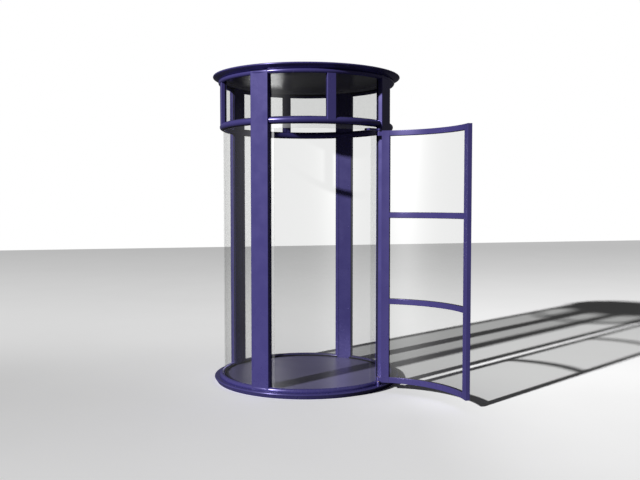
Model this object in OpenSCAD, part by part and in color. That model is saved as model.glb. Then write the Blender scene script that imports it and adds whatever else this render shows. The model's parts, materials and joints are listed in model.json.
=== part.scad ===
// Round street telephone booth: a glazed steel drum on four flat pillars with one curved glass door.
// Azimuths are in degrees about +Z, 0 at the doorway (-Y), growing towards +X.

/* [Drum] */
// Height from the ground to the top of the roof
booth_h = 2400; // [2380:5:2460]
// Outer radius of the base and roof flanges
flange_r = 738; // [734:1:760]
// Thickness of the base and roof flanges, which taper from below to a thin lip
flange_t = 40; // [36:2:44]
// Thickness of the lip at the rim of a flange, with a half-round edge
lip_t = 14; // [12:1:16]
// Radius at which the taper under the base starts
base_foot_r = 718; // [712:1:722]
// Radius at which the taper under the roof starts
roof_foot_r = 688; // [686:1:694]
// Radius at the middle of the base and roof beads
bead_ring_r = 678;
// Tube radius of the base and roof beads
bead_ring_t = 18;
// Radius at the middle of the transom ring
transom_r = 663;
// Tube radius of the transom ring
transom_t = 24;
// Height of the middle of the transom ring
transom_z = 2004; // [1996:2:2030]

/* [Pillars] */
// Width of a pillar across its flat face
pillar_w = 148; // [140:2:160]
// Distance of the pillar's outer face from the centre line
pillar_out = 693;
// Distance of the pillar's inner face from the centre line
pillar_in = 649;
// Width of a mullion above the transom ring
mullion_w = 66; // [60:2:72]
// Distance of the mullion's outer face from the centre line
mullion_out = 687;
// Distance of the mullion's inner face from the centre line
mullion_in = 650;
// Wall thickness of pillars and mullions
tube_wall = 4; // [3:0.5:4]

/* [Glazing] */
// Radius at the middle of the curved glass
glass_r = 656.5;
// Thickness of the glass
glass_t = 6; // [5:0.5:6]
// Depth of the rebate that takes the glass edge in a pillar or mullion
rebate_d = 10;
// Thickness of the flat bars that hold the glass in its rebate
bead_t = 3.5; // [3:0.5:4]

/* [Door] */
// Angle at which the door is drawn, 0 shut
door_open = 121; // [0:1:135]
// Radius of the door's inner face when shut
door_in_r = 661;
// Thickness of the door frame
door_t = 32;
// Azimuth of the free edge when shut
door_free_az = -37.5; // [-37.6:0.1:-36]
// Azimuth of the hinge edge when shut
door_hinge_az = 32; // [31:0.1:32.2]
// Height of the bottom of the door
door_z0 = 74; // [74:1:78]
// Height of the top of the door
door_z1 = 1940; // [1920:2:1940]
// Width of the two stiles
stile_w = 60; // [56:1:64]
// Height of the top rail
top_rail_h = 38; // [34:1:44]
// Height of the bottom rail
bottom_rail_h = 42; // [38:1:50]
// Height of the two glazing bars
bar_h = 39; // [32:1:44]
// Heights of the undersides of the lower and upper glazing bars
bar_z = [663, 1301];

/* [Pivots] */
// Azimuth of the pivot line
pivot_az = 34;
// Radius of the pivot line
pivot_r = 709;
// Radius of the pivot pins
pin_r = 6;
// Gap all round a pin in its bush
pin_gap = 0.05; // [0.02:0.01:0.1]

/* [Ground fixing] */
// Diameter of the circle of anchor holes
anchor_pcd = 900; // [800:10:1000]
// Radius of an anchor hole
anchor_r = 9; // [7:0.5:11]

/* [Hidden] */
$fn = 96;
big_fn = 360;
frame_violet = [0.10, 0.085, 0.28];
door_violet = [0.105, 0.09, 0.30];
deck_violet = [0.12, 0.115, 0.18];
ceiling_grey = [0.10, 0.10, 0.105];
clear_glass = [0.86, 0.90, 0.92, 0.35];
rubber_black = [0.02, 0.02, 0.022];
steel_grey = [0.55, 0.55, 0.57];
bronze = [0.50, 0.33, 0.13];

eps = 1;
roof_z = booth_h - flange_t;
base_bead_z = flange_t + 10;
roof_bead_z = booth_h - base_bead_z;
sheet_t = 6;
lip_r = lip_t / 2;
rim_r = flange_r - lip_r;
deck_t = 5;
deck_r = 645;
recess_r = 648;
ceiling_z = booth_h - 19;
ceiling_t = 4;

pillar_az = [-45, 45, 135, 225];
mullion_az = [0, 90, 180, 270];
rebate_w = 16;
mullion_rebate_w = 12;
edge_gap = 2;
pillar_edge_az = asin((pillar_w / 2 - rebate_w + edge_gap) / glass_r);
mullion_edge_az = asin((mullion_w / 2 - mullion_rebate_w + edge_gap) / glass_r);

glass_in = glass_r - glass_t / 2;
glass_out = glass_r + glass_t / 2;
glass_z0 = flange_t + 7;
glass_z1 = transom_z - 28;
upper_z0 = transom_z + 27;
upper_z1 = roof_z - 8;
rubber_z0 = base_bead_z + bead_ring_t + 2;
rubber_z1 = roof_bead_z - bead_ring_t - 2;
bead_w = 30;
mullion_bead_w = 26;
bead_z0 = flange_t + 20;
bead_z1 = transom_z - transom_t - 2;
upper_bead_z0 = transom_z + 26;
upper_bead_z1 = roof_z - 12;
screw_head_r = 4.5;
screw_head_h = 2.5;
screw_r = 2.4;
screw_l = 9;
screw_rows = 6;
upper_screw_rows = 2;

head_strip_z0 = door_z1 + 5;
jamb_z1 = door_z1 + 3;
strip_gap_az = 0.1;
door_bay_a0 = pillar_az[0] + pillar_edge_az + strip_gap_az;
door_bay_a1 = pillar_az[1] - pillar_edge_az - strip_gap_az;
jamb_left_az = -36;
jamb_right_az = 31.2;

door_out_r = door_in_r + door_t;
door_mid_r = door_in_r + door_t / 2;
stile_az = stile_w / door_mid_r * 180 / PI;
slot_w = 10;
slot_d = 10;
seat_d = 8;
slot_az = slot_d / door_mid_r * 180 / PI;
seat_az = seat_d / door_mid_r * 180 / PI;
lip_az = 2 / door_mid_r * 180 / PI;
rail_a0 = door_free_az + stile_az;
rail_a1 = door_hinge_az - stile_az;
light_z0 = [door_z0 + bottom_rail_h, bar_z[0] + bar_h, bar_z[1] + bar_h];
light_z1 = [bar_z[0], bar_z[1], door_z1 - top_rail_h];

pivot_xy = [pivot_r * sin(pivot_az), -pivot_r * cos(pivot_az)];
arm_h = 30;
arm_plate = 12;
arm_l = 82;
boss_r = 13;
bush_r = 9;
post_r = 12;
post_top = door_z0 - 4;
washer_t = 3.2;
bracket_z0 = door_z1 + 4;
bracket_h = 15;
bracket_az = 26;
arm_bolt_x = [-46, -68];
arm_bolt_r = 3;
spigot_l = 120;

// Turns its children so that their -Y points outwards at an azimuth.
module at_azimuth(az) {
    rotate([0, 0, az]) children();
}

// Curved slab between two radii, two heights and two azimuths.
module sector(r0, r1, z0, z1, a0, a1) {
    translate([0, 0, z0])
        rotate_extrude(start = a0 - 90, angle = a1 - a0, $fn = big_fn)
            translate([r0, 0]) square([r1 - r0, z1 - z0]);
}

module tube_ring(r, tube_r, z) {
    translate([0, 0, z]) rotate_extrude($fn = big_fn) translate([r, 0]) circle(r = tube_r, $fn = 48);
}

module transom_tube() {
    tube_ring(transom_r, transom_t, transom_z);
}

// ---- base and roof ----

// Section of a flange outside in_r: flat on both sides, with a taper from foot_r that
// runs out at a tangent to the half-round lip.
module flange_section(in_r, foot_r) {
    lip_z = flange_t - lip_r;
    reach = norm([rim_r - foot_r, lip_z]);
    slope = atan2(lip_z, rim_r - foot_r) - asin(lip_r / reach);
    run = sqrt(reach * reach - lip_r * lip_r);
    polygon([
        [in_r, 0], [foot_r, 0],
        [foot_r + run * cos(slope), run * sin(slope)],
        [rim_r, lip_z], [rim_r, flange_t], [in_r, flange_t]
    ]);
    translate([rim_r, lip_z]) circle(r = lip_r);
}

module anchor_places() {
    for (az = [0:90:270]) at_azimuth(az) translate([0, -anchor_pcd / 2, 0]) children();
}

module base_plate() {
    rib_t = 10;
    rim_in = 690;
    boss = 30;
    color(frame_violet) difference() {
        union() {
            rotate_extrude() {
                translate([0, flange_t - sheet_t]) square([rim_r, sheet_t]);
                flange_section(rim_in, base_foot_r);
            }
            for (az = [0:45:135])
                at_azimuth(az) translate([-rib_t / 2, -rim_in - eps, 0])
                    cube([rib_t, 2 * (rim_in + eps), flange_t - eps]);
            anchor_places() cylinder(r = boss, h = flange_t - eps);
        }
        anchor_places() translate([0, 0, -eps]) cylinder(r = anchor_r, h = flange_t + 2 * eps);
    }
}

module floor_panel() {
    color(deck_violet) translate([0, 0, flange_t]) cylinder(r = deck_r, h = deck_t);
}

// Bead of a flange: a tube ring let down onto the flat of the flange.
module bead_ring(z, flat_z, above) {
    color(frame_violet) difference() {
        tube_ring(bead_ring_r, bead_ring_t, z);
        translate([0, 0, above ? flat_z - 2 * bead_ring_t : flat_z])
            cylinder(r = flange_r, h = 2 * bead_ring_t);
    }
}

module base_ring() {
    bead_ring(base_bead_z, flange_t, true);
}

module roof_ring() {
    bead_ring(roof_bead_z, roof_z, false);
}

module roof_plate() {
    color(frame_violet) translate([0, 0, roof_z]) rotate_extrude() {
        translate([0, flange_t - sheet_t]) square([recess_r + eps, sheet_t]);
        flange_section(recess_r, roof_foot_r);
    }
}

module ceiling_panel() {
    color(ceiling_grey) translate([0, 0, ceiling_z]) cylinder(r = recess_r, h = ceiling_t);
}

module ceiling_trim() {
    trim_w = 6;
    color(ceiling_grey) sector(recess_r - trim_w, recess_r, roof_z + eps, ceiling_z, 0, 360);
}

// ---- pillars and mullions ----

// Hollow flat tube, outer corners rounded, with a rebate at each inner corner.
module post_section(w, y_in, y_out, rebate, corner) {
    difference() {
        union() {
            translate([-w / 2, -y_out + corner]) square([w, y_out - y_in - corner]);
            translate([-w / 2 + corner, -y_out]) square([w - 2 * corner, 2 * corner]);
            for (s = [-1, 1]) translate([s * (w / 2 - corner), -y_out + corner]) circle(r = corner);
        }
        translate([-w / 2 + rebate + tube_wall, -y_out + tube_wall])
            square([w - 2 * (rebate + tube_wall), y_out - y_in - 2 * tube_wall]);
        for (s = [-1, 1])
            translate([s * (w / 2 - rebate / 2 + eps / 2) - (rebate + eps) / 2, -y_in - rebate_d])
                square([rebate + eps, rebate_d + eps]);
    }
}

// Where the screws of one glazing bar sit: a list of heights.
function screw_heights(z0, z1, rows) = [for (i = [0:rows - 1]) z0 + 60 + i * (z1 - z0 - 120) / (rows - 1)];

// A screw's hole or shank, pointing outwards from an inner face.
module at_screws(x, y_face, heights) {
    for (s = [-1, 1], z = heights)
        translate([s * x, -y_face, z]) rotate([90, 0, 0]) children();
}

main_screws = screw_heights(bead_z0, bead_z1, screw_rows);
upper_screws = screw_heights(upper_bead_z0, upper_bead_z1, upper_screw_rows);
pillar_screw_x = pillar_w / 2 - rebate_w - 9;
mullion_screw_x = mullion_w / 2 - mullion_rebate_w - 8;

module pillar(az) {
    corner = 5;
    color(frame_violet) difference() {
        at_azimuth(az) difference() {
            translate([0, 0, flange_t]) linear_extrude(roof_z - flange_t)
                post_section(pillar_w, pillar_in, pillar_out, rebate_w, corner);
            at_screws(pillar_screw_x, pillar_in - eps, concat(main_screws, upper_screws))
                cylinder(r = screw_r, h = tube_wall + 2 * eps);
        }
        tube_ring(bead_ring_r, bead_ring_t, base_bead_z);
        tube_ring(bead_ring_r, bead_ring_t, roof_bead_z);
        transom_tube();
    }
}

module mullion(az) {
    corner = 4;
    color(frame_violet) difference() {
        at_azimuth(az) difference() {
            translate([0, 0, transom_z]) linear_extrude(roof_z - transom_z)
                post_section(mullion_w, mullion_in, mullion_out, mullion_rebate_w, corner);
            at_screws(mullion_screw_x, mullion_in - eps, upper_screws)
                cylinder(r = screw_r, h = tube_wall + 2 * eps);
        }
        tube_ring(bead_ring_r, bead_ring_t, roof_bead_z);
        transom_tube();
    }
}

// Blocks inside the pillars' ends, welded to the flange.
module spigots(z0) {
    clear = 4;
    side = pillar_w - 2 * (rebate_w + tube_wall + clear);
    deep = pillar_out - pillar_in - 2 * (tube_wall + clear);
    color(steel_grey) difference() {
        for (az = pillar_az) at_azimuth(az)
            translate([-side / 2, -pillar_out + tube_wall + clear, z0]) cube([side, deep, spigot_l]);
        tube_ring(bead_ring_r, bead_ring_t, base_bead_z);
        tube_ring(bead_ring_r, bead_ring_t, roof_bead_z);
    }
}

// ---- fixed glazing ----

module pane(z0, z1, a0, a1) {
    color(clear_glass) sector(glass_in, glass_out, z0, z1, a0, a1);
}

module wall_pane(az) {
    pane(glass_z0, glass_z1, az + pillar_edge_az, az + 90 - pillar_edge_az);
}

// Half bay above the transom ring, from a pillar to the mullion before or after it.
module transom_pane(az, to_mullion) {
    a0 = az + (to_mullion ? pillar_edge_az : mullion_edge_az);
    a1 = az + 45 - (to_mullion ? mullion_edge_az : pillar_edge_az);
    pane(upper_z0, upper_z1, a0, a1);
}

// Rubber in the rebate at one side of a post, outside the glass and round its edge.
module rebate_rubber(w, y_in, rebate, side, z0, z1) {
    edge_at = edge_gap - 0.5;
    difference() {
        translate([side > 0 ? w / 2 - rebate : -w / 2, -y_in - rebate_d, z0])
            cube([rebate, rebate_d, z1 - z0]);
        intersection() {
            translate([0, 0, z0 - eps]) cylinder(r = glass_out, h = z1 - z0 + 2 * eps, $fn = big_fn);
            translate([side > 0 ? w / 2 - rebate + edge_at : -w / 2 - edge_at, -glass_out, z0 - eps])
                cube([rebate, glass_out, z1 - z0 + 2 * eps]);
        }
    }
}

// Rubber under a pane on the base flange, with a lip on its inner side.
module sill_rubber(a0, a1) {
    lip_w = 3.5;
    rotate_extrude(start = a0 - 90, angle = a1 - a0, $fn = big_fn) {
        translate([glass_in - lip_w, flange_t]) square([glass_t + lip_w, glass_z0 - flange_t]);
        translate([glass_in - lip_w, glass_z0 - eps]) square([lip_w, 9 + eps]);
    }
}

// Rubber between a pane and the tube ring above or below it.
module ring_rubber(z0, z1, a0, a1) {
    difference() {
        sector(glass_in, glass_out, z0, z1, a0, a1);
        transom_tube();
    }
}

module wall_gasket(az) {
    a0 = az + pillar_edge_az + strip_gap_az;
    a1 = az + 90 - pillar_edge_az - strip_gap_az;
    color(rubber_black) {
        at_azimuth(az) rebate_rubber(pillar_w, pillar_in, rebate_w, 1, rubber_z0, glass_z1);
        at_azimuth(az + 90) rebate_rubber(pillar_w, pillar_in, rebate_w, -1, rubber_z0, glass_z1);
        sill_rubber(a0, a1);
        ring_rubber(glass_z1, glass_z1 + 8, a0, a1);
    }
}

module transom_gaskets() {
    color(rubber_black) for (az = pillar_az) {
        for (side = [-1, 1]) {
            at_azimuth(az)
                rebate_rubber(pillar_w, pillar_in, rebate_w, side, upper_z0, rubber_z1);
            at_azimuth(az + 45)
                rebate_rubber(mullion_w, mullion_in, mullion_rebate_w, side, upper_z0, rubber_z1);
            a0 = az + strip_gap_az + (side < 0 ? pillar_edge_az : 45 + mullion_edge_az);
            a1 = az - strip_gap_az + (side < 0 ? 45 - mullion_edge_az : 90 - pillar_edge_az);
            ring_rubber(upper_z0 - 6, upper_z0, a0, a1);
            sector(glass_in, glass_out, upper_z1, roof_z, a0, a1);
        }
    }
}

module doorway_gaskets() {
    color(rubber_black) {
        at_azimuth(pillar_az[0])
            rebate_rubber(pillar_w, pillar_in, rebate_w, 1, rubber_z0, glass_z1);
        at_azimuth(pillar_az[1])
            rebate_rubber(pillar_w, pillar_in, rebate_w, -1, rubber_z0, glass_z1);
        ring_rubber(glass_z1, glass_z1 + 8, door_bay_a0, door_bay_a1);
        sill_rubber(door_bay_a0, jamb_left_az);
        sill_rubber(jamb_right_az, door_bay_a1);
    }
}

module jamb_strip_left() {
    pane(glass_z0, jamb_z1, pillar_az[0] + pillar_edge_az, jamb_left_az);
}

module jamb_strip_right() {
    pane(glass_z0, jamb_z1, jamb_right_az, pillar_az[1] - pillar_edge_az);
}

module door_head_strip() {
    pane(head_strip_z0, glass_z1, pillar_az[0] + pillar_edge_az, pillar_az[1] - pillar_edge_az);
}

// Pair of flat bars on a post's inner face, drilled for their screws.
module bar_pair(w, y_in, bar_w, x_screw, z0, z1, heights) {
    difference() {
        for (s = [-1, 1])
            translate([s > 0 ? w / 2 - bar_w : -w / 2, -y_in, z0]) cube([bar_w, bead_t, z1 - z0]);
        at_screws(x_screw, y_in - bead_t - eps, heights) cylinder(r = screw_r, h = bead_t + 2 * eps);
    }
}

module glazing_beads() {
    color(frame_violet) for (az = pillar_az) at_azimuth(az)
        bar_pair(pillar_w, pillar_in, bead_w, pillar_screw_x, bead_z0, bead_z1, main_screws);
}

module transom_beads() {
    color(frame_violet) for (az = pillar_az) {
        at_azimuth(az) bar_pair(pillar_w, pillar_in, bead_w, pillar_screw_x,
            upper_bead_z0, upper_bead_z1, upper_screws);
        at_azimuth(az + 45) bar_pair(mullion_w, mullion_in, mullion_bead_w, mullion_screw_x,
            upper_bead_z0, upper_bead_z1, upper_screws);
    }
}

module screw() {
    cylinder(r = screw_r, h = screw_l);
    translate([0, 0, -screw_head_h]) cylinder(r = screw_head_r, h = screw_head_h);
}

module bead_screws() {
    color(frame_violet) for (az = pillar_az) {
        at_azimuth(az)
            at_screws(pillar_screw_x, pillar_in - bead_t, concat(main_screws, upper_screws)) screw();
        at_azimuth(az + 45) at_screws(mullion_screw_x, mullion_in - bead_t, upper_screws) screw();
    }
}

// ---- pivots on the drum ----

module at_pivot() {
    at_azimuth(pivot_az) translate([0, -pivot_r, 0]) children();
}

module bottom_pivot_post() {
    color(frame_violet) at_pivot() {
        translate([0, 0, flange_t]) cylinder(r = post_r, h = post_top - flange_t);
        translate([0, 0, post_top - eps]) cylinder(r = pin_r, h = door_z0 + arm_h - post_top - eps);
    }
}

module thrust_washer() {
    color(bronze) at_pivot() translate([0, 0, post_top]) difference() {
        cylinder(r = post_r, h = washer_t);
        translate([0, 0, -eps]) cylinder(r = pin_r, h = washer_t + 2 * eps);
    }
}

// Patch plate that clips over the head glass beside the pillar and holds the pin.
module top_pivot_bracket() {
    grip = 6;
    lug_r = 13;
    bracket_end_az = pillar_az[1] - asin(pillar_w / 2 / door_out_r) - 0.02;
    color(frame_violet) difference() {
        union() {
            sector(glass_in - grip, pivot_r - lug_r + 4, bracket_z0, bracket_z0 + bracket_h,
                bracket_az, bracket_end_az);
            at_pivot() translate([0, 0, bracket_z0]) cylinder(r = lug_r, h = bracket_h);
        }
        sector(glass_in, glass_out, head_strip_z0, bracket_z0 + bracket_h + eps,
            bracket_az - 1, bracket_end_az + 1);
        at_pivot() translate([0, 0, bracket_z0 - eps]) cylinder(r = pin_r, h = bracket_h - 2);
        at_azimuth(pillar_az[1]) translate([-pillar_w / 2, -pillar_out, bracket_z0 - eps])
            cube([pillar_w, pillar_out, bracket_h + 2 * eps]);
    }
}

module top_pivot_pin() {
    z0 = door_z1 - arm_h - 2;
    color(steel_grey) at_pivot()
        translate([0, 0, z0]) cylinder(r = pin_r, h = bracket_z0 + bracket_h - 3 - z0);
}

// ---- door, drawn shut and swung open ----

module swung() {
    translate(pivot_xy) rotate([0, 0, door_open]) translate(-pivot_xy) children();
}

// Slot that takes the edge of the door glass.
module slot(z0, z1, a0, a1) {
    sector(door_mid_r - slot_w / 2, door_mid_r + slot_w / 2, z0, z1, a0, a1);
}

module door_slots() {
    for (i = [0:2])
        slot(light_z0[i] - slot_d, light_z1[i] + slot_d, rail_a0 - slot_az, rail_a1 + slot_az);
}

module rail(z0, h) {
    color(door_violet) swung() difference() {
        sector(door_in_r, door_out_r, z0, z0 + h, rail_a0, rail_a1);
        door_slots();
    }
}

module stile(a0, a1) {
    color(door_violet) swung() difference() {
        sector(door_in_r, door_out_r, door_z0, door_z1, a0, a1);
        door_slots();
        arm_bolt_places() translate([0, 0, -eps]) cylinder(r = arm_bolt_r, h = 30 + eps);
    }
}

module door_glass(i) {
    color(clear_glass) swung()
        sector(door_mid_r - glass_t / 2, door_mid_r + glass_t / 2,
            light_z0[i] - seat_d, light_z1[i] + seat_d, rail_a0 - seat_az, rail_a1 + seat_az);
}

module door_gasket(i) {
    lip = 2;
    color(rubber_black) swung() difference() {
        slot(light_z0[i] - slot_d, light_z1[i] + slot_d, rail_a0 - slot_az, rail_a1 + slot_az);
        sector(door_in_r, door_out_r, light_z0[i] + lip, light_z1[i] - lip,
            rail_a0 + lip_az, rail_a1 - lip_az);
        sector(door_mid_r - glass_t / 2, door_mid_r + glass_t / 2,
            light_z0[i] - seat_d, light_z1[i] + seat_d, rail_a0 - seat_az, rail_a1 + seat_az);
    }
}

// Arm from the back of the hinge stile out to the pivot line, with a boss for the bush.
module pivot_arm(z) {
    color(door_violet) swung() difference() {
        at_pivot() union() {
            translate([-arm_l, pivot_r - door_out_r - arm_plate, z])
                cube([arm_l - 10, 2 * arm_plate, arm_h]);
            translate([-30, -boss_r, z]) cube([30, 2 * boss_r, arm_h]);
            translate([0, 0, z]) cylinder(r = boss_r, h = arm_h);
        }
        at_pivot() translate([0, 0, z - eps]) cylinder(r = bush_r, h = arm_h + 2 * eps);
        translate([0, 0, z - eps]) cylinder(r = door_out_r, h = arm_h + 2 * eps, $fn = big_fn);
        arm_bolt_places() cylinder(r = arm_bolt_r, h = 44, center = true);
    }
}

// Bolt places on both arms, +Z pointing into the stile from the arm's outer face.
module arm_bolt_places() {
    for (z = [door_z0 + arm_h / 2, door_z1 - 4 - arm_h / 2], x = arm_bolt_x)
        at_pivot() translate([x, pivot_r - door_out_r - arm_plate, z]) rotate([-90, 0, 0]) children();
}

module pivot_bushes() {
    color(bronze) swung() at_pivot() for (z = [door_z0 - 0.5, door_z1 - 4 - arm_h])
        translate([0, 0, z]) difference() {
            cylinder(r = bush_r, h = arm_h + (z < door_z0 ? 0.5 : 0));
            translate([0, 0, -eps]) cylinder(r = pin_r + pin_gap, h = arm_h + 3 * eps);
        }
}

module pivot_arm_bolts() {
    head_r = 6;
    head_h = 4;
    color(steel_grey) swung() arm_bolt_places() {
        cylinder(r = arm_bolt_r, h = 28);
        translate([0, 0, -head_h]) cylinder(r = head_r, h = head_h);
    }
}

base_plate();
base_ring();
floor_panel();
pillar(pillar_az[0]);  // pillar_front_left
pillar(pillar_az[1]);  // pillar_front_right
pillar(pillar_az[2]);  // pillar_back_right
pillar(pillar_az[3]);  // pillar_back_left
color(frame_violet) transom_tube();  // transom_ring
mullion(mullion_az[0]);  // mullion_front
mullion(mullion_az[1]);  // mullion_right
mullion(mullion_az[2]);  // mullion_back
mullion(mullion_az[3]);  // mullion_left
roof_ring();
roof_plate();
ceiling_panel();
ceiling_trim();
spigots(flange_t);  // base_spigots
spigots(roof_z - spigot_l);  // roof_spigots
wall_pane(pillar_az[1]);  // glass_pane_right
wall_pane(pillar_az[2]);  // glass_pane_back
wall_pane(pillar_az[3]);  // glass_pane_left
transom_pane(pillar_az[0], true);  // transom_pane_front_left
transom_pane(mullion_az[0], false);  // transom_pane_front_right
transom_pane(pillar_az[1], true);  // transom_pane_right_front
transom_pane(mullion_az[1], false);  // transom_pane_right_back
transom_pane(pillar_az[2], true);  // transom_pane_back_right
transom_pane(mullion_az[2], false);  // transom_pane_back_left
transom_pane(pillar_az[3], true);  // transom_pane_left_back
transom_pane(mullion_az[3], false);  // transom_pane_left_front
jamb_strip_left();
jamb_strip_right();
door_head_strip();
wall_gasket(pillar_az[1]);  // gasket_right
wall_gasket(pillar_az[2]);  // gasket_back
wall_gasket(pillar_az[3]);  // gasket_left
transom_gaskets();
doorway_gaskets();
glazing_beads();
transom_beads();
bead_screws();
bottom_pivot_post();
thrust_washer();
top_pivot_bracket();
top_pivot_pin();
stile(rail_a1, door_hinge_az);  // door_hinge_stile
stile(door_free_az, rail_a0);  // door_free_stile
rail(door_z1 - top_rail_h, top_rail_h);  // door_top_rail
rail(bar_z[1], bar_h);  // door_upper_bar
rail(bar_z[0], bar_h);  // door_lower_bar
rail(door_z0, bottom_rail_h);  // door_bottom_rail
door_glass(2);  // door_glass_top
door_glass(1);  // door_glass_middle
door_glass(0);  // door_glass_bottom
door_gasket(2);  // door_gasket_top
door_gasket(1);  // door_gasket_middle
door_gasket(0);  // door_gasket_bottom
pivot_arm(door_z0);  // bottom_pivot_arm
pivot_arm(door_z1 - 4 - arm_h);  // top_pivot_arm
pivot_bushes();
pivot_arm_bolts();
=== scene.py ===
import json
import math
import bpy
import bmesh
from mathutils import Matrix, Vector


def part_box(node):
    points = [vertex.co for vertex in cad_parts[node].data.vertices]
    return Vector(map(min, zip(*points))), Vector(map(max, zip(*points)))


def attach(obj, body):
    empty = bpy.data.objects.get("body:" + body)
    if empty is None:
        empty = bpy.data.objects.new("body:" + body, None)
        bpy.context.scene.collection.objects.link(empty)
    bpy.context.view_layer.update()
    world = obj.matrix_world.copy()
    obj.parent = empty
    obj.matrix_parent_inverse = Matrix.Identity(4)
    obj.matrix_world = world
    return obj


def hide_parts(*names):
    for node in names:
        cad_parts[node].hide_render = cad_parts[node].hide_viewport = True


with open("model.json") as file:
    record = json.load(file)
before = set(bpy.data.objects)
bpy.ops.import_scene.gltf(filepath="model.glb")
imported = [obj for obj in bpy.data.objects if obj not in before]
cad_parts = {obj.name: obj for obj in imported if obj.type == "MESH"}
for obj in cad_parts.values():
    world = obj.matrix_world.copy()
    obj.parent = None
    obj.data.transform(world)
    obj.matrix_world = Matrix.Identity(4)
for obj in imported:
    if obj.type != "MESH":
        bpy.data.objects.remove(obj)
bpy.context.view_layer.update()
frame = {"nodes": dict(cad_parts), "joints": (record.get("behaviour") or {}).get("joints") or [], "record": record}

print("booth: frame loaded")

# what the drum measures, read back from the frame

hinge = frame["joints"][0]
swingDeg = -hinge["range_deg"][0]                    # how far the door stands open at rest
pivot = Vector(hinge["pos_m"][:2]).to_3d()


def low(nodeName):
    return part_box(nodeName)[0]


def high(nodeName):
    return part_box(nodeName)[1]


drum = {
    "top": high("roof_plate").z,
    "plate": high("base_plate").z,                   # thickness of the base and roof discs
    "rimRadius": high("base_plate").x,
    "beadRadius": 0.678, "beadTube": 0.018,          # tube rings on the base and under the roof
    "beadRise": 0.010,                               # how far a bead's middle is off its disc
    "transomRadius": 0.663, "transomTube": 0.024,
    "transomZ": (low("transom_ring").z + high("transom_ring").z) / 2,
    "pillarAzimuths": {"front_left": -45, "front_right": 45, "back_right": 135, "back_left": 225},
    "mullionAzimuths": {"front": 0, "right": 90, "back": 180, "left": 270},
}
roofZ = drum["top"] - drum["plate"]

# shaping tools


def polar(radius, azimuth, z=0.0):
    a = math.radians(azimuth)                        # 0 at the doorway, growing to the right
    return Vector((radius * math.sin(a), -radius * math.cos(a), z))


def swung(point):
    return Matrix.Rotation(math.radians(swingDeg), 4, "Z") @ (point - pivot) + pivot


def softCorners(outline, radii, steps=5):
    out = []
    count = len(outline)
    for i, corner in enumerate(outline):
        r = radii[i] if isinstance(radii, (list, tuple)) else radii
        here = Vector(corner)
        if r <= 0:
            out.append(here)
            continue
        before = (Vector(outline[i - 1]) - here).normalized()
        after = (Vector(outline[(i + 1) % count]) - here).normalized()
        half = before.angle(after) / 2
        middle = here + (before + after).normalized() * (r / math.sin(half))
        start = here + before * (r / math.tan(half)) - middle
        end = here + after * (r / math.tan(half)) - middle
        sweep = start.angle_signed(end)              # clockwise is positive here
        for k in range(steps + 1):
            out.append(middle + Matrix.Rotation(-sweep * k / steps, 2) @ start)
    return out


meshing = {
    "sharpDeg": 32.0,                                # edges sharper than this stay crisp
    "bevelDeg": 50.0, "bevelSegments": 2,
    "flatWeight": 80,                                # how far big faces keep their own direction
    "mergeDist": 1e-6,
    "arcStepDeg": 1.5, "paneStepDeg": 1.0, "bossStepDeg": 12.0,
}


def finishMesh(name, bm, body, nodeName, material, bevel=0.0):
    bmesh.ops.recalc_face_normals(bm, faces=bm.faces)
    mesh = bpy.data.meshes.new(name)
    bm.to_mesh(mesh)
    bm.free()
    piece = bpy.data.objects.new(name, mesh)
    bpy.context.scene.collection.objects.link(piece)
    mesh.materials.append(material)
    mesh.shade_smooth()
    mesh.set_sharp_from_angle(angle=math.radians(meshing["sharpDeg"]))
    if bevel:
        soft = piece.modifiers.new("softEdges", "BEVEL")
        soft.width = bevel
        soft.segments = meshing["bevelSegments"]
        soft.limit_method = "ANGLE"
        soft.angle_limit = math.radians(meshing["bevelDeg"])
    flat = piece.modifiers.new("flatFaces", "WEIGHTED_NORMAL")
    flat.keep_sharp = True
    flat.weight = meshing["flatWeight"]
    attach(piece, body)
    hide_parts(nodeName)
    return piece


slotOf = {part["node"]: part["material_slot"] for part in frame["record"]["subparts"]}


def addSweep(bm, outline, az0, az1, place=None, stepDeg=meshing["arcStepDeg"]):
    whole = abs(az1 - az0) > 359.9
    count = max(2, int(round(abs(az1 - az0) / stepDeg)))
    rings = []
    for i in range(count if whole else count + 1):
        az = az0 + (az1 - az0) * i / count
        ring = []
        for r, z in outline:
            point = polar(r, az, z)
            ring.append(bm.verts.new(place(point) if place else point))
        rings.append(ring)
    size = len(outline)
    for i in range(count):
        a, b = rings[i], rings[(i + 1) % len(rings)]
        for k in range(size):
            bm.faces.new((a[k], a[(k + 1) % size], b[(k + 1) % size], b[k]))
    if not whole:
        bm.faces.new(rings[0])
        bm.faces.new(list(reversed(rings[-1])))
    return bm


def addColumn(bm, outline, z0, z1, place=None, azimuth=0.0):
    turn = Matrix.Rotation(math.radians(azimuth), 4, "Z")
    levels = []
    for z in (z0, z1):
        level = []
        for x, y in outline:
            point = turn @ Vector((x, y, z))
            level.append(bm.verts.new(place(point) if place else point))
        levels.append(level)
    a, b = levels
    size = len(outline)
    for k in range(size):
        bm.faces.new((a[k], a[(k + 1) % size], b[(k + 1) % size], b[k]))
    bm.faces.new(list(reversed(a)))
    bm.faces.new(b)
    return bm


def circleOutline(radius, cx, cz, steps=40, cutBelow=None, cutAbove=None):
    points = []
    for i in range(steps):
        a = 2 * math.pi * i / steps
        x, z = cx + radius * math.cos(a), cz + radius * math.sin(a)
        if cutBelow is not None:
            z = max(z, cutBelow)
        if cutAbove is not None:
            z = min(z, cutAbove)
        points.append((x, z))
    return points


# finishes

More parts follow.
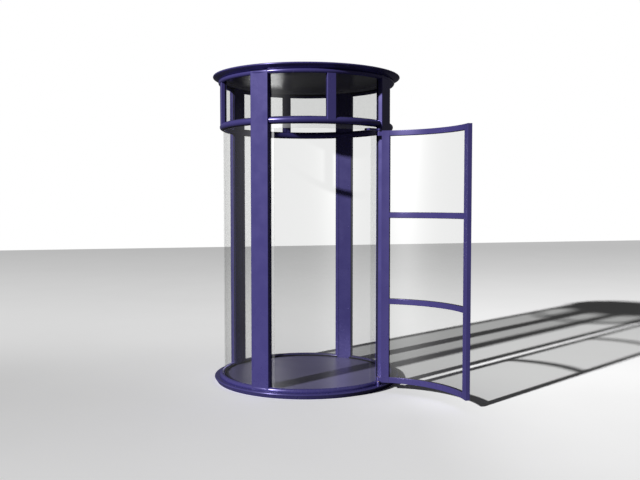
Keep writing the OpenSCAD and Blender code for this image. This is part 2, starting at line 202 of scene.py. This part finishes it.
finish = {
    "framePaint": {"tone": (0.070, 0.061, 0.232), "shade": (0.062, 0.053, 0.212), "rough": 0.26,
                   "ior": 1.65, "gloss": 1.0, "glossTint": (0.56, 0.50, 1.0)},
    "doorPaint": {"tone": (0.074, 0.062, 0.232), "shade": (0.066, 0.055, 0.212), "rough": 0.27,
                  "ior": 1.65, "gloss": 0.9, "glossTint": (0.60, 0.54, 1.0)},
    "deckPaint": {"tone": (0.215, 0.200, 0.365), "shade": (0.185, 0.171, 0.325), "rough": 0.34,
                  "ior": 1.45, "gloss": 0.25, "glossTint": (0.8, 0.75, 1.0)},
    "ceilingPaint": {"tone": (0.320, 0.320, 0.325), "shade": (0.280, 0.280, 0.285), "rough": 0.22,
                     "ior": 1.6, "gloss": 1.0, "glossTint": (1.0, 1.0, 1.0)},
    # the trim's pale tone is a painted highlight standing in for the light line at the ceiling's edge
    "trimPaintedHighlight": {"tone": (0.66, 0.66, 0.67), "shade": (0.60, 0.60, 0.61), "rough": 0.30,
                  "ior": 2.4, "gloss": 1.0, "glossTint": (1.0, 1.0, 1.0)},
    "glass": {"tint": (0.984, 0.986, 0.983), "lampTint": (0.790, 0.792, 0.789), "ior": 1.52,
              "rough": 0.42, "faceOn": 0.15, "edgeOn": 0.30},
    "upperGlass": {"tint": (0.900, 0.902, 0.899), "lampTint": (0.790, 0.792, 0.789), "ior": 1.52,
                   "rough": 0.34, "faceOn": 0.02, "edgeOn": 0.11},
    "rubber": {"tone": (0.012, 0.012, 0.013), "rough": 0.62},
    "steel": {"tone": (0.52, 0.52, 0.54), "rough": 0.30},
    "bronze": {"tone": (0.48, 0.31, 0.12), "rough": 0.36},
}
grain = {                                            # how fine each pattern is, larger is finer
    "paintCloud": 2.3, "paintBlotch": 9, "paintPeel": 420, "dustSpeck": 55,
    "glassSmear": 6, "rubberCloud": 30, "rubberScuff": 60, "rubberBump": 700,
    "metalCloud": 40, "turningLines": (60, 60, 900), "floorCloud": 1.1,
}
dust = {"tone": (0.30, 0.29, 0.30), "upTo": 0.16, "most": 0.10}   # settles on the lowest painted faces


def newMaterial(name):
    material = bpy.data.materials.new(name)
    material.use_nodes = True
    tree = material.node_tree
    tree.nodes.clear()
    out = tree.nodes.new("ShaderNodeOutputMaterial")
    return material, tree, out


def addNode(tree, kind, **values):
    made = tree.nodes.new(kind)
    for key, value in values.items():
        if key in made.inputs:
            made.inputs[key].default_value = value
        else:
            setattr(made, key, value)
    return made


def noiseAt(tree, where, scale, detail=3.0, rough=0.55):
    made = addNode(tree, "ShaderNodeTexNoise", Scale=scale, Detail=detail, Roughness=rough)
    tree.links.new(where, made.inputs["Vector"])
    return made.outputs["Fac"]


def ramped(tree, value, lowAt, highAt, lowOut, highOut):
    made = addNode(tree, "ShaderNodeMapRange")
    limits = {"From Min": lowAt, "From Max": highAt, "To Min": lowOut, "To Max": highOut}
    for key, number in limits.items():
        made.inputs[key].default_value = number
    tree.links.new(value, made.inputs["Value"])
    return made.outputs["Result"]


def mixed(tree, share, a, b):
    made = addNode(tree, "ShaderNodeMix", data_type="RGBA")
    tree.links.new(share, made.inputs[0])
    for socket, colour in ((made.inputs[6], a), (made.inputs[7], b)):
        if isinstance(colour, tuple):
            socket.default_value = (*colour, 1)
        else:
            tree.links.new(colour, socket)
    return made.outputs[2]


def paint(name, spec, peel=0.00012):
    material, tree, out = newMaterial(name)
    place = addNode(tree, "ShaderNodeTexCoord").outputs["Object"]
    shader = addNode(tree, "ShaderNodeBsdfPrincipled")
    shader.inputs["IOR"].default_value = spec["ior"]
    shader.inputs["Specular IOR Level"].default_value = spec["gloss"]
    shader.inputs["Specular Tint"].default_value = (*spec["glossTint"], 1)
    cloud = noiseAt(tree, place, grain["paintCloud"], 4)
    colour = mixed(tree, ramped(tree, cloud, 0.35, 0.65, 0, 1), spec["shade"], spec["tone"])
    height = addNode(tree, "ShaderNodeSeparateXYZ")
    tree.links.new(place, height.inputs[0])
    lowDown = ramped(tree, height.outputs["Z"], 0.0, dust["upTo"], dust["most"], 0.0)
    speck = ramped(tree, noiseAt(tree, place, grain["dustSpeck"], 5, 0.7), 0.42, 0.70, 0.0, 1.0)
    dusty = addNode(tree, "ShaderNodeMath", operation="MULTIPLY")
    tree.links.new(lowDown, dusty.inputs[0])
    tree.links.new(speck, dusty.inputs[1])
    colour = mixed(tree, dusty.outputs[0], colour, dust["tone"])
    tree.links.new(colour, shader.inputs["Base Color"])
    blotch = noiseAt(tree, place, grain["paintBlotch"], 4)
    rough = ramped(tree, blotch, 0.3, 0.7, spec["rough"] - 0.03, spec["rough"] + 0.04)
    tree.links.new(rough, shader.inputs["Roughness"])
    bump = addNode(tree, "ShaderNodeBump", Strength=0.35, Distance=peel)
    tree.links.new(noiseAt(tree, place, grain["paintPeel"], 2), bump.inputs["Height"])
    tree.links.new(bump.outputs["Normal"], shader.inputs["Normal"])
    tree.links.new(shader.outputs[0], out.inputs[0])
    return material


def clearGlass(name, spec):
    material, tree, out = newMaterial(name)
    place = addNode(tree, "ShaderNodeTexCoord").outputs["Object"]
    through = addNode(tree, "ShaderNodeBsdfTransparent")
    through.inputs[0].default_value = (*spec["tint"], 1)
    mirror = addNode(tree, "ShaderNodeBsdfGlossy")
    cloud = noiseAt(tree, place, grain["glassSmear"], 4)
    smear = ramped(tree, cloud, 0.35, 0.75, spec["rough"], spec["rough"] + 0.015)
    tree.links.new(smear, mirror.inputs["Roughness"])
    fresnel = addNode(tree, "ShaderNodeFresnel", IOR=spec["ior"])
    outside = ramped(tree, addNode(tree, "ShaderNodeNewGeometry").outputs["Backfacing"], 0, 1, 1, 0)
    share = addNode(tree, "ShaderNodeMath", operation="MULTIPLY")  # only the face met first mirrors
    strong = ramped(tree, fresnel.outputs[0], 0.04, 1.0, spec["faceOn"], spec["edgeOn"])
    tree.links.new(strong, share.inputs[0])
    tree.links.new(outside, share.inputs[1])
    both = addNode(tree, "ShaderNodeMixShader")
    tree.links.new(share.outputs[0], both.inputs[0])
    tree.links.new(through.outputs[0], both.inputs[1])
    tree.links.new(mirror.outputs[0], both.inputs[2])
    lampLight = addNode(tree, "ShaderNodeBsdfTransparent")       # what lamplight keeps through a face
    lampLight.inputs[0].default_value = (*spec["lampTint"], 1)
    whole = addNode(tree, "ShaderNodeMixShader")
    tree.links.new(addNode(tree, "ShaderNodeLightPath").outputs["Is Shadow Ray"], whole.inputs[0])
    tree.links.new(both.outputs[0], whole.inputs[1])
    tree.links.new(lampLight.outputs[0], whole.inputs[2])
    tree.links.new(whole.outputs[0], out.inputs[0])
    return material


def softRubber(name, spec):
    material, tree, out = newMaterial(name)
    place = addNode(tree, "ShaderNodeTexCoord").outputs["Object"]
    shader = addNode(tree, "ShaderNodeBsdfPrincipled")
    grey = ramped(tree, noiseAt(tree, place, grain["rubberCloud"], 4), 0.35, 0.7, 0.0, 1.0)
    pale = tuple(channel * 2.2 for channel in spec["tone"])
    tree.links.new(mixed(tree, grey, spec["tone"], pale), shader.inputs["Base Color"])
    scuff = noiseAt(tree, place, grain["rubberScuff"], 3)
    rough = ramped(tree, scuff, 0.3, 0.7, spec["rough"] - 0.08, spec["rough"] + 0.1)
    tree.links.new(rough, shader.inputs["Roughness"])
    bump = addNode(tree, "ShaderNodeBump", Strength=0.4, Distance=0.0002)
    tree.links.new(noiseAt(tree, place, grain["rubberBump"], 2), bump.inputs["Height"])
    tree.links.new(bump.outputs["Normal"], shader.inputs["Normal"])
    tree.links.new(shader.outputs[0], out.inputs[0])
    return material


def turnedMetal(name, spec):
    material, tree, out = newMaterial(name)
    place = addNode(tree, "ShaderNodeTexCoord").outputs["Object"]
    shader = addNode(tree, "ShaderNodeBsdfPrincipled")
    shader.inputs["Metallic"].default_value = 1.0
    dull = tuple(channel * 0.72 for channel in spec["tone"])
    cloud = ramped(tree, noiseAt(tree, place, grain["metalCloud"], 4), 0.35, 0.7, 0.0, 1.0)
    tree.links.new(mixed(tree, cloud, spec["tone"], dull), shader.inputs["Base Color"])
    squeeze = addNode(tree, "ShaderNodeMapping")
    squeeze.inputs["Scale"].default_value = grain["turningLines"]
    tree.links.new(place, squeeze.inputs["Vector"])
    lines = noiseAt(tree, squeeze.outputs[0], 1.0, 3)
    rough = ramped(tree, lines, 0.3, 0.7, spec["rough"] - 0.07, spec["rough"] + 0.12)
    tree.links.new(rough, shader.inputs["Roughness"])
    bump = addNode(tree, "ShaderNodeBump", Strength=0.25, Distance=0.0001)
    tree.links.new(lines, bump.inputs["Height"])
    tree.links.new(bump.outputs["Normal"], shader.inputs["Normal"])
    tree.links.new(shader.outputs[0], out.inputs[0])
    return material


coatings = {
    "frame_paint": paint("framePaint", finish["framePaint"]),
    "door_paint": paint("doorPaint", finish["doorPaint"]),
    "deck_paint": paint("deckPaint", finish["deckPaint"], peel=0.0004),
    "ceiling_paint": paint("ceilingPaint", finish["ceilingPaint"]),
    "clear_glass": clearGlass("clearGlass", finish["glass"]),
    "black_rubber": softRubber("glazingRubber", finish["rubber"]),
    "bare_steel": turnedMetal("bareSteel", finish["steel"]),
    "bearing_bronze": turnedMetal("bearingBronze", finish["bronze"]),
}
for name, part in frame["nodes"].items():
    part.data.materials.clear()
    part.data.materials.append(coatings[slotOf[name]])
ceilingTrim = frame["nodes"]["ceiling_trim"]         # the thin ring round the ceiling; its pale tone is a painted highlight for the light line along the ceiling's edge
ceilingTrim.data.materials[0] = paint("trimPaintedHighlight", finish["trimPaintedHighlight"])
print("booth: finishes ready")


def coatingOf(nodeName):
    return coatings[slotOf[nodeName]]


def makeSweep(name, nodeName, outline, az0, az1, body="booth", place=None,
              stepDeg=meshing["arcStepDeg"], coating=None):
    bm = addSweep(bmesh.new(), outline, az0, az1, place, stepDeg)
    bmesh.ops.remove_doubles(bm, verts=bm.verts, dist=meshing["mergeDist"])
    return finishMesh(name, bm, body, nodeName, coating or coatingOf(nodeName))


# base and roof

disc = {
    "sheet": 0.006,                                  # thickness of the flat plate itself
    "rimInner": 0.690,
    "lip": 0.014,                                    # thickness at the half-round rim
    "baseFoot": 0.718, "roofFoot": 0.688,            # where the taper under each disc starts
    "edgeSteps": 12,
    "ribWidth": 0.010, "ribCount": 4,                # each rib runs right across the disc
    "bossRadius": 0.030, "bossCorner": 0.001, "anchorRadius": 0.009,
    "anchorCircle": 0.450, "anchorAzimuths": (0, 90, 180, 270),
    "recess": 0.648,                                 # radius of the hollow under the roof
}


def taperedEdge(foot, zLow):
    r = disc["lip"] / 2                              # the taper meets the rim's round at a tangent
    middle = Vector((drum["rimRadius"] - r, zLow + drum["plate"] - r))
    reach = middle - Vector((foot, zLow))
    slope = math.atan2(reach.y, reach.x) - math.asin(r / reach.length)
    points = [(foot, zLow)]
    for i in range(disc["edgeSteps"] + 1):
        a = slope - math.pi / 2 + (math.pi - slope) * i / disc["edgeSteps"]
        points.append((middle.x + r * math.cos(a), middle.y + r * math.sin(a)))
    return points


def buildBasePlate():
    t, top = disc["sheet"], drum["plate"]
    edge = taperedEdge(disc["baseFoot"], 0.0)
    inner, hole = disc["rimInner"], disc["anchorRadius"]
    boss, soft = disc["bossRadius"], disc["bossCorner"]
    outline = [(0.0, top - t), (inner, top - t), (inner, 0.0)] + edge + [(0.0, top)]
    bm = addSweep(bmesh.new(), outline, 0, 360)
    w = disc["ribWidth"] / 2
    rib = [(-w, -inner), (w, -inner), (w, inner), (-w, inner)]
    for i in range(disc["ribCount"]):
        addColumn(bm, rib, 0.0, top - t, azimuth=180 * i / disc["ribCount"])
    section = [(hole, 0.0), (boss, 0.0), (boss, top - t), (hole, top - t)]
    wall = [tuple(p) for p in softCorners(section, [soft, soft, 0, 0], 2)]
    for az in disc["anchorAzimuths"]:
        centre = polar(disc["anchorCircle"], az)
        addSweep(bm, wall, 0, 360, lambda p, c=centre: p + c, meshing["bossStepDeg"])
    bmesh.ops.remove_doubles(bm, verts=bm.verts, dist=meshing["mergeDist"])
    return finishMesh("basePlate", bm, "booth", "base_plate", coatingOf("base_plate"))


def buildRoofPlate():
    t, top, r = disc["sheet"], drum["top"], disc["recess"]
    edge = taperedEdge(disc["roofFoot"], roofZ)
    outline = [(0.0, top - t), (r, top - t), (r, roofZ)] + edge + [(0.0, top)]
    makeSweep("roofPlate", "roof_plate", outline, 0, 360)


buildBasePlate()
buildRoofPlate()
rise = drum["beadRise"]
makeSweep("baseBead", "base_ring",
          circleOutline(drum["beadTube"], drum["beadRadius"], drum["plate"] + rise, cutBelow=drum["plate"]),
          0, 360)
makeSweep("roofBead", "roof_ring",
          circleOutline(drum["beadTube"], drum["beadRadius"], roofZ - rise, cutAbove=roofZ), 0, 360)
makeSweep("transomRing", "transom_ring",
          circleOutline(drum["transomTube"], drum["transomRadius"], drum["transomZ"]), 0, 360)

panel = {"floorRadius": high("floor_panel").x, "floorTop": high("floor_panel").z, "edge": 0.0015}
floorOutline = softCorners(
    [(0.0, drum["plate"]), (panel["floorRadius"], drum["plate"]),
     (panel["floorRadius"], panel["floorTop"]), (0.0, panel["floorTop"])], [0, 0, panel["edge"], 0], 3)
makeSweep("floorPanel", "floor_panel", [tuple(p) for p in floorOutline], 0, 360)
print("booth: base and roof made")

# pillars and mullions

post = {
    "pillar": {"width": 0.148, "outer": 0.693, "inner": 0.649, "rebate": 0.016, "corner": 0.005},
    "mullion": {"width": 0.066, "outer": 0.687, "inner": 0.650, "rebate": 0.012, "corner": 0.004},
    "rebateDepth": 0.010, "fineCorner": 0.0012,
}


def postOutline(spec):
    w, out, inn = spec["width"] / 2, -spec["outer"], -spec["inner"]
    step, deep = spec["rebate"], -spec["inner"] - post["rebateDepth"]
    big, fine = spec["corner"], post["fineCorner"]
    corners = [(-w, out), (w, out), (w, deep), (w - step, deep), (w - step, inn),
               (-w + step, inn), (-w + step, deep), (-w, deep)]
    radii = [big, big, fine, 0, fine, fine, 0, fine]
    return [tuple(p) for p in softCorners(corners, radii, 5)]


def buildPost(name, nodeName, spec, azimuth, z0, z1):
    bm = addColumn(bmesh.new(), postOutline(spec), z0, z1, azimuth=azimuth)
    return finishMesh(name, bm, "booth", nodeName, coatingOf(nodeName))


for side, az in drum["pillarAzimuths"].items():
    buildPost("pillar_" + side, "pillar_" + side, post["pillar"], az, drum["plate"], roofZ)
for side, az in drum["mullionAzimuths"].items():
    buildPost("mullion_" + side, "mullion_" + side, post["mullion"], az, drum["transomZ"], roofZ)
print("booth: pillars and mullions made")

# fixed glass

glazing = {
    "inner": 0.6535, "outer": 0.6595,
    "pillarSeat": 0.060, "mullionSeat": 0.023,       # from a post's middle to the edge of its glass
    "groundEdge": 0.0009,
    "jambLeft": -36.0, "jambRight": 31.2,            # azimuths where the doorway strips end
}


def paneOutline(r0, r1, z0, z1):
    corners = [(r0, z0), (r1, z0), (r1, z1), (r0, z1)]
    return [tuple(p) for p in softCorners(corners, glazing["groundEdge"], 2)]


upperGlass = clearGlass("upperGlass", finish["upperGlass"])


def buildPane(name, nodeName, az0, az1):
    outline = paneOutline(glazing["inner"], glazing["outer"], low(nodeName).z, high(nodeName).z)
    coating = upperGlass if low(nodeName).z > drum["transomZ"] else None
    return makeSweep(name, nodeName, outline, az0, az1, stepDeg=meshing["paneStepDeg"], coating=coating)


glassMiddle = (glazing["inner"] + glazing["outer"]) / 2
pillarEdge = math.degrees(math.asin(glazing["pillarSeat"] / glassMiddle))
mullionEdge = math.degrees(math.asin(glazing["mullionSeat"] / glassMiddle))
for side, az in (("right", 45), ("back", 135), ("left", 225)):
    buildPane("pane_" + side, "glass_pane_" + side, az + pillarEdge, az + 90 - pillarEdge)
    first, second = {"right": ("right_front", "right_back"), "back": ("back_right", "back_left"),
                     "left": ("left_back", "left_front")}[side]
    buildPane("toplight_" + first, "transom_pane_" + first, az + pillarEdge, az + 45 - mullionEdge)
    buildPane("toplight_" + second, "transom_pane_" + second, az + 45 + mullionEdge, az + 90 - pillarEdge)
buildPane("toplight_front_left", "transom_pane_front_left", -45 + pillarEdge, -mullionEdge)
buildPane("toplight_front_right", "transom_pane_front_right", mullionEdge, 45 - pillarEdge)
buildPane("jambLeft", "jamb_strip_left", -45 + pillarEdge, glazing["jambLeft"])
buildPane("jambRight", "jamb_strip_right", glazing["jambRight"], 45 - pillarEdge)
buildPane("doorHead", "door_head_strip", -45 + pillarEdge, 45 - pillarEdge)
print("booth: fixed glass made")

# door

door = {
    "inner": 0.661, "outer": 0.693,
    "free": -37.5, "hinge": 32.0, "stile": 0.060,
    "grooveWidth": 0.010, "grooveDepth": 0.010, "glass": 0.006, "glassDepth": 0.008,
    "corner": 0.0022, "grooveCorner": 0.0008, "stileEnds": 0.0015,
}
doorMiddle = (door["inner"] + door["outer"]) / 2
stileAz = math.degrees(door["stile"] / doorMiddle)
railFrom, railTo = door["free"] + stileAz, door["hinge"] - stileAz


def railOutline(z0, z1, grooveTop, grooveBottom):
    r0, r1, g, d = door["inner"], door["outer"], door["grooveWidth"] / 2, door["grooveDepth"]
    m, soft, fine = doorMiddle, door["corner"], door["grooveCorner"]
    corners, radii = [(r0, z0)], [soft]
    if grooveBottom:
        corners += [(m - g, z0), (m - g, z0 + d), (m + g, z0 + d), (m + g, z0)]
        radii += [fine, 0, 0, fine]
    corners += [(r1, z0), (r1, z1)]
    radii += [soft, soft]
    if grooveTop:
        corners += [(m + g, z1), (m + g, z1 - d), (m - g, z1 - d), (m - g, z1)]
        radii += [fine, 0, 0, fine]
    corners += [(r0, z1)]
    radii += [soft]
    return [tuple(p) for p in softCorners(corners, radii, 4)]


def buildRail(name, nodeName, grooveTop, grooveBottom):
    outline = railOutline(low(nodeName).z, high(nodeName).z, grooveTop, grooveBottom)
    return makeSweep(name, nodeName, outline, railFrom, railTo, "door", swung)


def stileOutline(azFrom, azTo, grooveAt):
    r0, r1, g, soft = door["inner"], door["outer"], door["grooveWidth"] / 2, door["corner"]
    depthAz = math.degrees(door["grooveDepth"] / doorMiddle)
    side = 1 if grooveAt == azTo else -1
    inward = grooveAt - side * depthAz
    steps = 6
    inside = [polar(r0, azFrom + (azTo - azFrom) * i / steps) for i in range(steps + 1)]
    outside = [polar(r1, azTo + (azFrom - azTo) * i / steps) for i in range(steps + 1)]
    groove = [polar(doorMiddle - g, grooveAt), polar(doorMiddle - g, inward),
              polar(doorMiddle + g, inward), polar(doorMiddle + g, grooveAt)]
    softEnds = [soft] + [0] * (steps - 1) + [soft]
    grooveEnds = [door["grooveCorner"], 0, 0, door["grooveCorner"]]
    if side > 0:
        points, radii = inside + groove + outside, softEnds + grooveEnds + softEnds
    else:
        points, radii = inside + outside + groove[::-1], softEnds + softEnds + grooveEnds
    return [tuple(p) for p in softCorners([(p.x, p.y) for p in points], radii, 4)]


def buildStile(name, nodeName, azFrom, azTo, grooveAt):
    outline = stileOutline(azFrom, azTo, grooveAt)
    bm = addColumn(bmesh.new(), outline, low(nodeName).z, high(nodeName).z, swung)
    return finishMesh(name, bm, "door", nodeName, coatingOf(nodeName), door["stileEnds"])


buildStile("doorHingeStile", "door_hinge_stile", railTo, door["hinge"], railTo)
buildStile("doorFreeStile", "door_free_stile", door["free"], railFrom, railFrom)
buildRail("doorTopRail", "door_top_rail", False, True)
buildRail("doorUpperBar", "door_upper_bar", True, True)
buildRail("doorLowerBar", "door_lower_bar", True, True)
buildRail("doorBottomRail", "door_bottom_rail", True, False)

seatAz = math.degrees(door["glassDepth"] / doorMiddle)
for level in ("top", "middle", "bottom"):
    paneNode = "door_glass_" + level
    outline = paneOutline(doorMiddle - door["glass"] / 2, doorMiddle + door["glass"] / 2,
                          low(paneNode).z, high(paneNode).z)
    makeSweep("doorPane_" + level, paneNode, outline, railFrom - seatAz, railTo + seatAz, "door", swung,
              meshing["paneStepDeg"])
print("booth: door made")

# floor, lamps and camera

viewpoint = {
    "distance": 6.196, "height": 1.4075,
    "turn": -15.3, "aside": 0.994, "down": 2.728,    # degrees round the booth, to the right, downward
    "lens": 43.404,
}
ground = {
    "far": 18.75, "side": 70.0, "near": -40.0,
    "bounce": 0.12,                                  # what the floor gives back to the booth
    "gloss": 0.16,                                   # what glossy faces see of it
    "gain": 2.38,                                    # what the camera sees of it
    "toneNear": -3.0, "toneFar": 18.0,               # the two ends of the tone lists below
    # painted light on the floor: a painted shadow band left of the booth, a painted pool of light right of it, and
    # painted falloff darkening both with distance
    "leftPaintedShadeTones": [(-3.0, 0.68), (-0.5, 0.44), (1.7, 0.70), (5.0, 0.63), (10.0, 0.54), (18.0, 0.45)],
    "rightPaintedLightTones": [(-3.0, 0.74), (-0.6, 0.90), (0.4, 0.97), (5.0, 0.74), (10.0, 0.58), (18.0, 0.47)],
    "paintedLightSideShares": [(-2.0, 0.0), (0.70, 0.22), (1.20, 0.80), (1.8, 1.0)],
}


def toneList(tree, along, stops):
    ramp = tree.nodes.new("ShaderNodeValToRGB")
    ramp.color_ramp.interpolation = "B_SPLINE"
    near, far = ground["toneNear"], ground["toneFar"]
    points = ramp.color_ramp.elements
    while len(points) < len(stops):
        points.new(1.0)
    for point, (y, tone) in zip(points, stops):
        point.position = (y - near) / (far - near)
        point.color = (tone, tone, tone, 1)
    tree.links.new(ramped(tree, along, near, far, 0, 1), ramp.inputs[0])
    return ramp.outputs[0]


def buildFloor():
    mesh = bpy.data.meshes.new("floor")
    x, y0, y1 = ground["side"], ground["near"], ground["far"]
    mesh.from_pydata([(-x, y0, 0), (x, y0, 0), (x, y1, 0), (-x, y1, 0)], [], [(0, 1, 2, 3)])
    floor = bpy.data.objects.new("floor", mesh)
    bpy.context.scene.collection.objects.link(floor)
    material, tree, out = newMaterial("paleFloor")
    place = addNode(tree, "ShaderNodeTexCoord").outputs["Object"]
    turned = addNode(tree, "ShaderNodeMapping")
    turned.inputs["Rotation"].default_value = (0, 0, -math.radians(viewpoint["turn"]))
    tree.links.new(place, turned.inputs["Vector"])
    split = addNode(tree, "ShaderNodeSeparateXYZ")
    tree.links.new(turned.outputs[0], split.inputs[0])
    # blend the painted shade on the left into the painted light on the right
    side = toneList(tree, split.outputs["X"], ground["paintedLightSideShares"])
    tone = mixed(tree, side, toneList(tree, split.outputs["Y"], ground["leftPaintedShadeTones"]),
                 toneList(tree, split.outputs["Y"], ground["rightPaintedLightTones"]))
    cloud = ramped(tree, noiseAt(tree, place, grain["floorCloud"], 5, 0.6), 0.3, 0.7, 0.98, 1.0)
    path = addNode(tree, "ShaderNodeLightPath")
    seen = addNode(tree, "ShaderNodeMath", operation="MAXIMUM")
    tree.links.new(path.outputs["Is Camera Ray"], seen.inputs[0])
    tree.links.new(path.outputs["Is Transmission Ray"], seen.inputs[1])
    dim = ramped(tree, path.outputs["Is Glossy Ray"], 0, 1, ground["bounce"], ground["gloss"])
    gain = addNode(tree, "ShaderNodeMath", operation="MULTIPLY")
    tree.links.new(seen.outputs[0], gain.inputs[0])
    gain.inputs[1].default_value = ground["gain"]
    most = addNode(tree, "ShaderNodeMath", operation="MAXIMUM")
    tree.links.new(gain.outputs[0], most.inputs[0])
    tree.links.new(dim, most.inputs[1])
    both = addNode(tree, "ShaderNodeMath", operation="MULTIPLY")
    tree.links.new(cloud, both.inputs[0])
    tree.links.new(most.outputs[0], both.inputs[1])
    scaled = addNode(tree, "ShaderNodeVectorMath", operation="SCALE")
    tree.links.new(tone, scaled.inputs[0])
    tree.links.new(both.outputs[0], scaled.inputs["Scale"])
    matt = addNode(tree, "ShaderNodeBsdfDiffuse")
    tree.links.new(scaled.outputs[0], matt.inputs["Color"])
    tree.links.new(matt.outputs[0], out.inputs[0])
    mesh.materials.append(material)


surround = {"fill": 0.022, "glossFill": 0.085}       # light from all round, on matt and on glossy faces


def buildWorld():
    world = bpy.data.worlds.new("studio")
    bpy.context.scene.world = world
    world.use_nodes = True
    tree = world.node_tree
    tree.nodes.clear()
    out = tree.nodes.new("ShaderNodeOutputWorld")
    sky = addNode(tree, "ShaderNodeBackground")
    sky.inputs["Color"].default_value = (1, 1, 1, 1)
    path = addNode(tree, "ShaderNodeLightPath")
    seen = addNode(tree, "ShaderNodeMath", operation="MAXIMUM")
    tree.links.new(path.outputs["Is Camera Ray"], seen.inputs[0])
    tree.links.new(path.outputs["Is Transmission Ray"], seen.inputs[1])
    mirrored = ramped(tree, path.outputs["Is Glossy Ray"], 0, 1, surround["fill"], surround["glossFill"])
    strength = addNode(tree, "ShaderNodeMath", operation="MAXIMUM")
    tree.links.new(seen.outputs[0], strength.inputs[0])
    tree.links.new(mirrored, strength.inputs[1])
    tree.links.new(strength.outputs[0], sky.inputs["Strength"])
    tree.links.new(sky.outputs[0], out.inputs[0])


keyLamp = {"azimuth": 43.6 + viewpoint["turn"], "elevation": 22.0, "strength": 3.5, "angle": 1.6}


def buildKey():
    lamp = bpy.data.lights.new("key", "SUN")
    lamp.energy = keyLamp["strength"]
    lamp.angle = math.radians(keyLamp["angle"])
    holder = bpy.data.objects.new("key", lamp)
    az, el = math.radians(keyLamp["azimuth"]), math.radians(keyLamp["elevation"])
    travel = Vector((math.cos(el) * math.cos(az), math.cos(el) * math.sin(az), -math.sin(el)))
    holder.rotation_euler = travel.to_track_quat("-Z", "Y").to_euler()
    bpy.context.scene.collection.objects.link(holder)


def buildCamera():
    camera = bpy.data.cameras.new("camera")
    camera.lens = viewpoint["lens"]
    camera.sensor_width = 36.0
    camera.clip_end = 300
    holder = bpy.data.objects.new("camera", camera)
    bpy.context.scene.collection.objects.link(holder)
    turn = Matrix.Rotation(math.radians(viewpoint["turn"]), 4, "Z")
    aside, down = math.radians(viewpoint["aside"]), math.radians(viewpoint["down"])
    level = Vector((math.sin(aside), math.cos(aside), 0)) * math.cos(down)
    forward = turn @ (level - Vector((0, 0, math.sin(down))))
    right = turn @ Vector((math.cos(aside), -math.sin(aside), 0))
    up = right.cross(forward)
    axes = Matrix((right, up, -forward)).transposed().to_4x4()
    spot = turn @ Vector((0, -viewpoint["distance"], viewpoint["height"]))
    holder.matrix_world = Matrix.Translation(spot) @ axes
    bpy.context.scene.camera = holder


stripLamp = {
    "aside": -0.48, "behind": 3.2, "middle": 1.55,
    "width": 0.34, "height": 1.5, "power": 3.4,
}


def buildStripLamp():
    lamp = bpy.data.lights.new("stripLamp", "AREA")      # shows only as a soft streak in glossy faces
    lamp.shape = "RECTANGLE"
    lamp.size, lamp.size_y = stripLamp["width"], stripLamp["height"]
    lamp.energy = stripLamp["power"]
    holder = bpy.data.objects.new("stripLamp", lamp)
    turn = Matrix.Rotation(math.radians(viewpoint["turn"]), 4, "Z")
    stand = Matrix.Rotation(math.radians(-90), 4, "X")
    spot = Matrix.Translation((stripLamp["aside"], stripLamp["behind"], stripLamp["middle"]))
    holder.matrix_world = turn @ spot @ stand
    holder.visible_camera = False
    holder.visible_diffuse = False
    holder.visible_transmission = False
    bpy.context.scene.collection.objects.link(holder)


buildFloor()
buildWorld()
buildKey()
buildStripLamp()
buildCamera()
bpy.context.scene.view_settings.view_transform = "Standard"
print("booth: studio ready")
